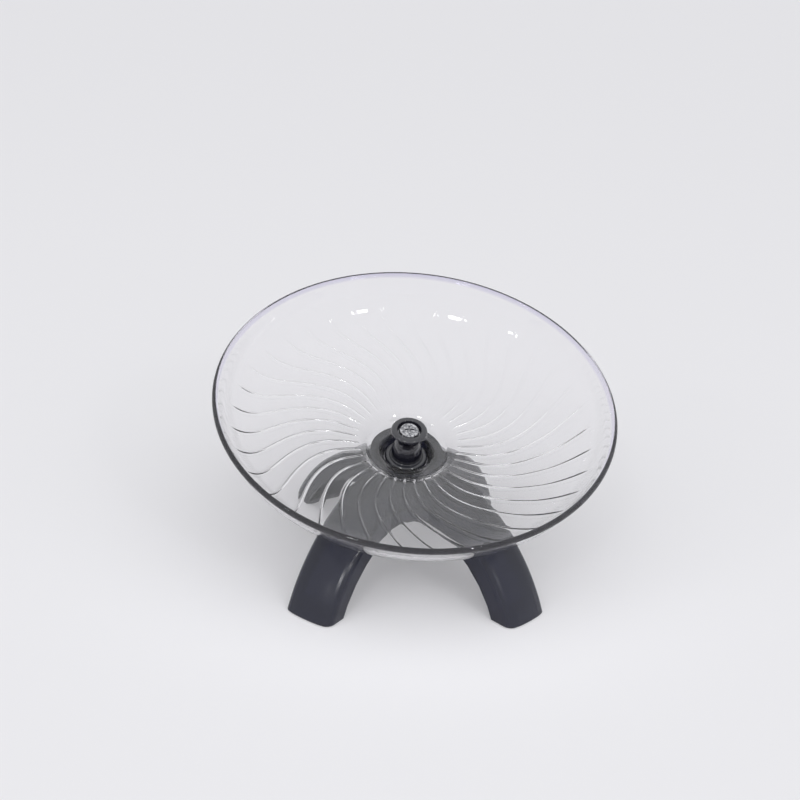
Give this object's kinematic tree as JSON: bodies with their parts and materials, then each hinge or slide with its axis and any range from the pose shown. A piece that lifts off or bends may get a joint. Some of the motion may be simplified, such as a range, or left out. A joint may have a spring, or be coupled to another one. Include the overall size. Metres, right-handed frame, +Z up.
{
  "type": "hamster saucer wheel",
  "caption": "Clear tilted running saucer with swirling grip ribs, spinning on a ball bearing in the head of a smoky arched four-legged stand.",
  "frame": {"origin": "on the floor, straight below the centre of the dish's rim and midway between the four feet", "axes": "+Z up; the dish's low side faces -Y; +X to the right seen from that low side. The spin axis leans 22 degrees from +Z towards -Y"},
  "size_m": [0.18, 0.1671, 0.1152],
  "materials": {
    "clear_plastic": "polished, clear",
    "smoky_plastic": "polished, smoky grey",
    "screw_steel": "zinc plated",
    "bearing_steel": "ground",
    "shield_steel": "pressed sheet",
    "cage_nylon": "natural nylon",
    "pad_rubber": "matt"
  },
  "bodies": {
    "base": {"stand": "smoky_plastic", "bearing_outer_race": "bearing_steel", "bearing_upper_shield": "shield_steel", "bearing_lower_shield": "shield_steel", "foot_pad_front_left": "pad_rubber", "foot_pad_front_right": "pad_rubber", "foot_pad_rear_left": "pad_rubber", "foot_pad_rear_right": "pad_rubber"},
    "saucer": {"dish": "clear_plastic", "knob": "smoky_plastic", "axle_screw": "screw_steel", "screw_washer": "screw_steel", "hub_spacer": "screw_steel", "bearing_inner_race": "bearing_steel", "lower_washer": "screw_steel", "lock_nut": "screw_steel"},
    "ball_ring": {"bearing_balls": "bearing_steel", "bearing_cage": "cage_nylon"}
  },
  "joints": [
    {"name": "dish_spin", "type": "hinge", "parent": "base", "child": "saucer", "pos_m": [0, 0, 0.082], "axis": [0, -0.3746, 0.9272], "continuous": true},
    {"name": "ball_ring_spin", "type": "hinge", "parent": "base", "child": "ball_ring", "pos_m": [0, 0, 0.082], "axis": [0, -0.3746, 0.9272], "continuous": true}
  ],
  "couplings": [
    {"joint": "ball_ring_spin", "follows": "dish_spin", "ratio": 0.36773}
  ]
}
